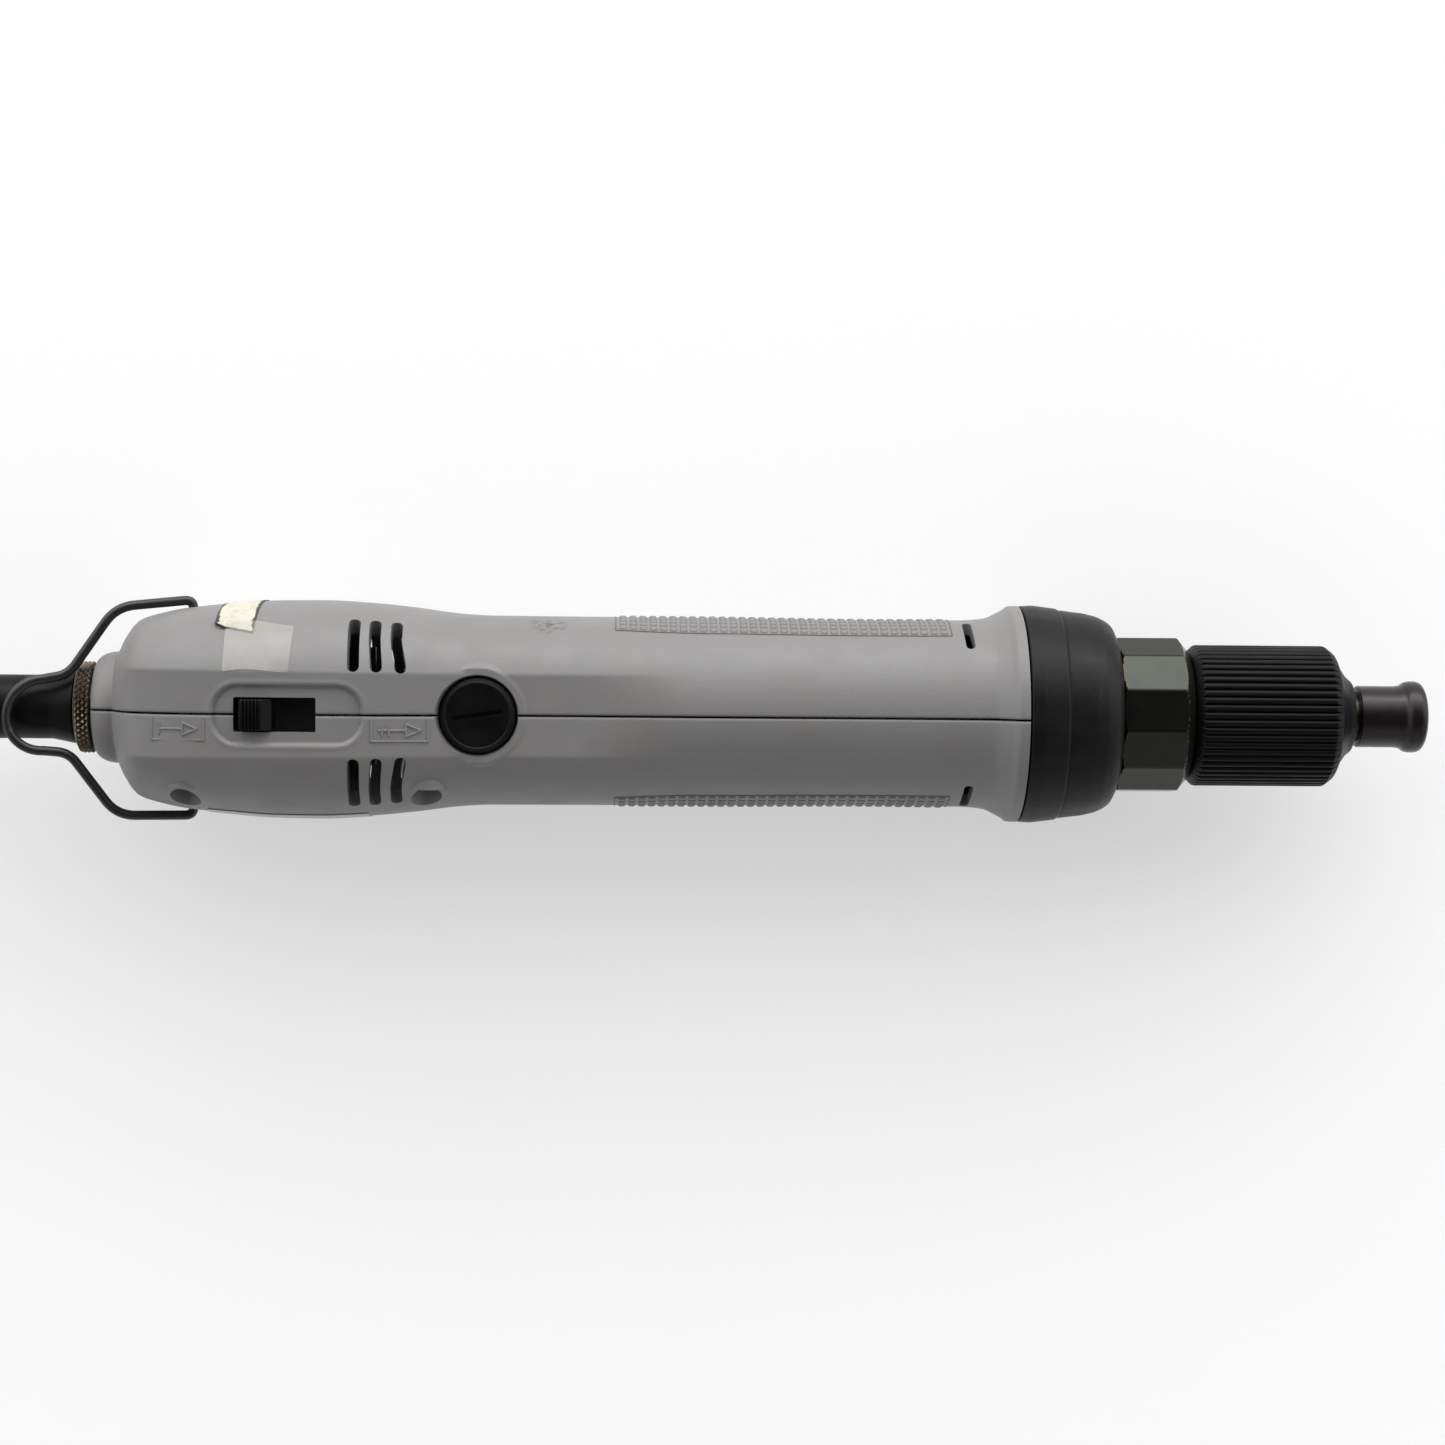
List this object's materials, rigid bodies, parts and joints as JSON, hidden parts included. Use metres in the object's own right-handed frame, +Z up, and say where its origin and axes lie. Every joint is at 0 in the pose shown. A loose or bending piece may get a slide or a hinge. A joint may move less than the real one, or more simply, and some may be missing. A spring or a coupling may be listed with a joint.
{
  "type": "electric torque screwdriver",
  "caption": "In-line low-voltage electric screwdriver with direction switch, torque-adjusting nut, quick-change bit sleeve, hanging bail and a plugged lead folded in a tied hank.",
  "frame": {"origin": "centre of the tool's bounding box, without its lead, on the plane that it lies on", "axes": "+X along the tool's axis towards the bit, +Z up through the forward/reverse switch, +Y to the left of someone looking along +X"},
  "size_m": [0.4564, 0.0587, 0.041],
  "materials": {
    "grey_plastic": "satin moulded plastic",
    "black_cover": "satin",
    "black_plastic": "satin",
    "dark_steel": "blackened, polished flats",
    "black_steel": "black coated wire",
    "brown_steel": "blackened and worn brown",
    "knurled_brass": "diamond knurl, nickel worn to brown",
    "steel": "plain",
    "brass": "plain",
    "copper": "wound copper",
    "bronze": "sintered",
    "magnet": "sintered",
    "carbon": "matt",
    "board_green": "solder mask",
    "black_rubber": "matt"
  },
  "bodies": {
    "housing": {"housing_half_left": "grey_plastic", "housing_half_right": "grey_plastic", "front_cover": "black_cover", "brush_cap_top": "black_plastic", "brush_cap_bottom": "black_plastic", "start_switch": "black_plastic", "direction_switch_body": "black_plastic", "bearing_holder": "black_plastic", "plug_shell": "black_plastic", "far_plug_shell": "black_plastic", "clutch_housing": "dark_steel", "far_coupling_nut": "knurled_brass", "housing_screw_1": "steel", "housing_screw_2": "steel", "housing_screw_3": "steel", "housing_screw_4": "steel", "connector_socket": "steel", "brush_spring_top": "steel", "brush_spring_bottom": "steel", "motor_can": "steel", "rear_bearing": "steel", "front_bearing": "steel", "gear_plate": "steel", "ring_gear": "steel", "clutch_spring": "steel", "start_spring": "steel", "brush_holder_top": "brass", "brush_holder_bottom": "brass", "magnet_left": "magnet", "magnet_right": "magnet", "carbon_brush_top": "carbon", "carbon_brush_bottom": "carbon", "circuit_board": "board_green", "strain_relief": "black_rubber", "cable_lead": "black_rubber", "cable_hank": "black_rubber", "hank_tie": "black_rubber", "cable_tail": "black_rubber", "far_strain_relief": "black_rubber"},
    "slider": {"direction_slider": "black_plastic"},
    "bail": {"hanging_bail": "black_steel"},
    "seat": {"spring_seat": "steel", "spindle_bush": "bronze"},
    "nut": {"torque_nut": "black_plastic"},
    "start_rod": {"push_rod": "steel"},
    "spindle": {"spindle": "dark_steel", "clutch_disc": "steel", "sleeve_spring": "steel"},
    "sleeve": {"bit_sleeve": "brown_steel"},
    "rotor": {"rotor_shaft": "steel", "armature_core": "copper", "commutator": "copper"},
    "carrier": {"planet_carrier": "steel", "clutch_cam": "steel"},
    "planet_1": {"planet_gear_1": "steel"},
    "planet_2": {"planet_gear_2": "steel"},
    "planet_3": {"planet_gear_3": "steel"},
    "plug_nut": {"coupling_nut": "knurled_brass"}
  },
  "joints": [
    {"name": "direction_slide", "type": "slide", "parent": "housing", "child": "slider", "axis": [1, 0, 0], "range_m": [0, 0.007]},
    {"name": "bail_swing", "type": "hinge", "parent": "housing", "child": "bail", "pos_m": [-0.09682, 0, 0.0201], "axis": [0, 1, 0], "range_deg": [0, 80]},
    {"name": "nut_advance", "type": "slide", "parent": "housing", "child": "seat", "axis": [1, 0, 0], "range_m": [0, 0.008], "deforming": ["clutch_spring"]},
    {"name": "torque_nut_turn", "type": "hinge", "parent": "seat", "child": "nut", "pos_m": [0.09778, 0, 0.0201], "axis": [1, 0, 0], "range_deg": [0, 1440]},
    {"name": "start_press", "type": "slide", "parent": "housing", "child": "start_rod", "axis": [-1, 0, 0], "range_m": [0, 0.0012], "stiffness_N_per_m": 1500, "springref_m": -0.002, "deforming": ["start_spring"]},
    {"name": "spindle_spin", "type": "hinge", "parent": "start_rod", "child": "spindle", "pos_m": [0.09778, 0, 0.0201], "axis": [1, 0, 0], "continuous": true},
    {"name": "sleeve_slide", "type": "slide", "parent": "spindle", "child": "sleeve", "axis": [1, 0, 0], "range_m": [0, 0.003], "stiffness_N_per_m": 800, "springref_m": -0.002, "deforming": ["sleeve_spring"]},
    {"name": "rotor_spin", "type": "hinge", "parent": "housing", "child": "rotor", "pos_m": [-0.00822, 0, 0.0201], "axis": [1, 0, 0], "continuous": true},
    {"name": "carrier_spin", "type": "hinge", "parent": "housing", "child": "carrier", "pos_m": [0.03728, 0, 0.0201], "axis": [1, 0, 0], "continuous": true},
    {"name": "planet_spin_1", "type": "hinge", "parent": "carrier", "child": "planet_1", "pos_m": [0.03078, 0.0075, 0.0201], "axis": [1, 0, 0], "continuous": true},
    {"name": "planet_spin_2", "type": "hinge", "parent": "carrier", "child": "planet_2", "pos_m": [0.03078, -0.00375, 0.0266], "axis": [1, 0, 0], "continuous": true},
    {"name": "planet_spin_3", "type": "hinge", "parent": "carrier", "child": "planet_3", "pos_m": [0.03078, -0.00375, 0.01361], "axis": [1, 0, 0], "continuous": true},
    {"name": "coupling_nut_turn", "type": "hinge", "parent": "housing", "child": "plug_nut", "pos_m": [-0.11602, 0, 0.0201], "axis": [1, 0, 0], "continuous": true}
  ],
  "couplings": [
    {"joint": "nut_advance", "follows": "torque_nut_turn", "m_per_rad": 0.000318},
    {"joint": "spindle_spin", "follows": "rotor_spin", "ratio": 0.2},
    {"joint": "carrier_spin", "follows": "rotor_spin", "ratio": 0.2},
    {"joint": "planet_spin_1", "follows": "rotor_spin", "ratio": -0.53333},
    {"joint": "planet_spin_2", "follows": "rotor_spin", "ratio": -0.53333},
    {"joint": "planet_spin_3", "follows": "rotor_spin", "ratio": -0.53333}
  ]
}
